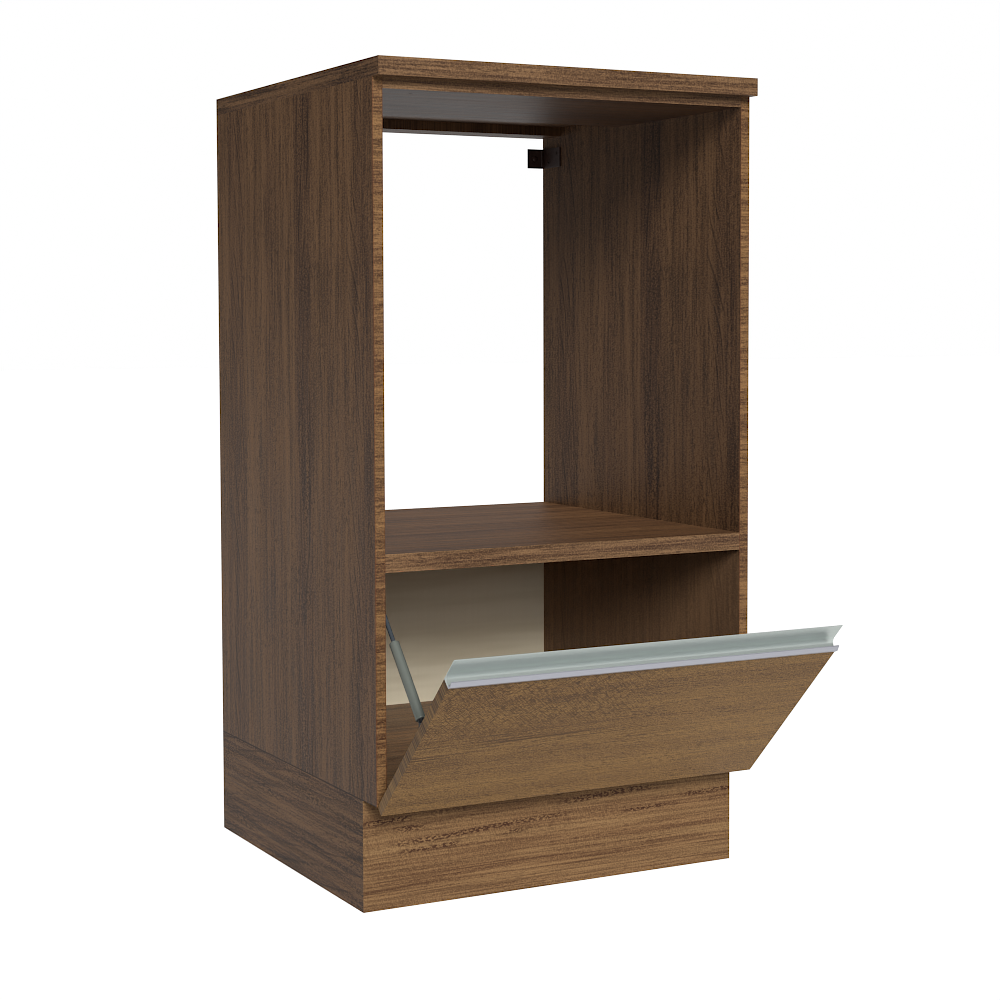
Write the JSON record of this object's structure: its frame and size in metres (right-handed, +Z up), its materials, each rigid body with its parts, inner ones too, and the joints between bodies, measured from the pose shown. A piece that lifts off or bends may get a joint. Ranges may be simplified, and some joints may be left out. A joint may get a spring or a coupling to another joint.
{
  "type": "oven base cabinet",
  "caption": "Free-standing tall base cabinet in dark wood with an open oven bay, a bottom-hung flap with an aluminium grip on a gas strut, and a recessed plinth.",
  "frame": {"origin": "centre of the footprint of the whole object with its flap open, on the floor", "axes": "+X to the right seen from the front, +Y to the back, +Z up; the front faces -Y"},
  "size_m": [0.6, 0.8102, 1.15],
  "materials": {
    "side_board": "rustic dark brown wood decor, matt, grain upright",
    "worktop_board": "rustic dark brown wood decor, matt, grain front to back",
    "cross_board": "rustic dark brown wood decor, matt, grain left to right",
    "plinth_board": "rustic dark brown wood decor, matt, grain along the plinth",
    "flap_board": "rustic dark brown wood decor, matt, grain left to right",
    "edge_band": "lighter brown edge band in the same decor",
    "back_board": "cream coated hardboard, matt",
    "block_wood": "plain planed softwood",
    "dowel_wood": "fluted beech",
    "handle_metal": "satin anodised",
    "zinc_steel": "bright zinc",
    "cam_zinc": "die-cast zinc",
    "hinge_steel": "nickel plated",
    "strut_paint": "grey lacquer, satin",
    "rod_steel": "hard chromed",
    "socket_plastic": "black moulded plastic",
    "guide_plastic": "black moulded plastic",
    "bracket_brown": "dark brown lacquer, satin",
    "bumper_clear": "soft clear plastic"
  },
  "bodies": {
    "root": {"worktop": "worktop_board", "worktop_edge_band": "edge_band", "side_panel_left": "side_board", "side_panel_right": "side_board", "side_edge_band_left": "edge_band", "side_edge_band_right": "edge_band", "top_rail_front": "cross_board", "top_rail_edge_band": "edge_band", "top_rail_back": "cross_board", "oven_shelf": "cross_board", "oven_shelf_edge_band": "edge_band", "bottom_panel": "cross_board", "bottom_edge_band": "edge_band", "back_panel": "back_board", "back_panel_nails": "zinc_steel", "plinth_front": "plinth_board", "plinth_back": "plinth_board", "plinth_side_left": "plinth_board", "plinth_side_right": "plinth_board", "plinth_corner_blocks": "block_wood", "plinth_screws": "zinc_steel", "floor_screws": "zinc_steel", "worktop_screws": "zinc_steel", "cam_bolts": "zinc_steel", "cam_discs": "cam_zinc", "dowels": "dowel_wood", "wall_bracket_left": "bracket_brown", "wall_bracket_right": "bracket_brown", "wall_bracket_screws": "zinc_steel", "hinge_leaves_cabinet": "hinge_steel", "hinge_pins": "hinge_steel", "hinge_screws_cabinet": "zinc_steel", "ball_stud_side": "zinc_steel", "strut_side_plate": "zinc_steel", "strut_plate_screws": "zinc_steel"},
    "flap": {"flap_panel": "flap_board", "flap_edge_bands": "edge_band", "handle_profile": "handle_metal", "flap_bumpers": "bumper_clear", "hinge_leaves_flap": "hinge_steel", "hinge_screws_flap": "zinc_steel", "strut_flap_bracket": "zinc_steel", "strut_bracket_screws": "zinc_steel", "stud_nut": "zinc_steel"},
    "strut_rod": {"strut_rod": "rod_steel", "strut_piston": "guide_plastic", "strut_socket_upper": "socket_plastic"},
    "strut_tube": {"strut_tube": "strut_paint", "strut_rod_guide": "guide_plastic", "strut_socket_lower": "socket_plastic", "ball_stud_flap": "zinc_steel"}
  },
  "joints": [
    {"name": "flap_hinge", "type": "hinge", "parent": "root", "child": "flap", "pos_m": [0, -0.1787, 0.1575], "axis": [1, 0, 0], "range_deg": [-44.5, 0]},
    {"name": "strut_swing", "type": "hinge", "parent": "root", "child": "strut_rod", "pos_m": [-0.272, -0.10459, 0.45331], "axis": [1, 0, 0], "range_deg": [0, 22.65]},
    {"name": "strut_slide", "type": "slide", "parent": "strut_rod", "child": "strut_tube", "axis": [0, -0.671, -0.7414], "range_m": [-0.0801, 0]}
  ],
  "couplings": [
    {"joint": "strut_swing", "follows": "flap_hinge", "ratio": -0.50811},
    {"joint": "strut_slide", "follows": "flap_hinge", "m_per_rad": 0.10298}
  ]
}
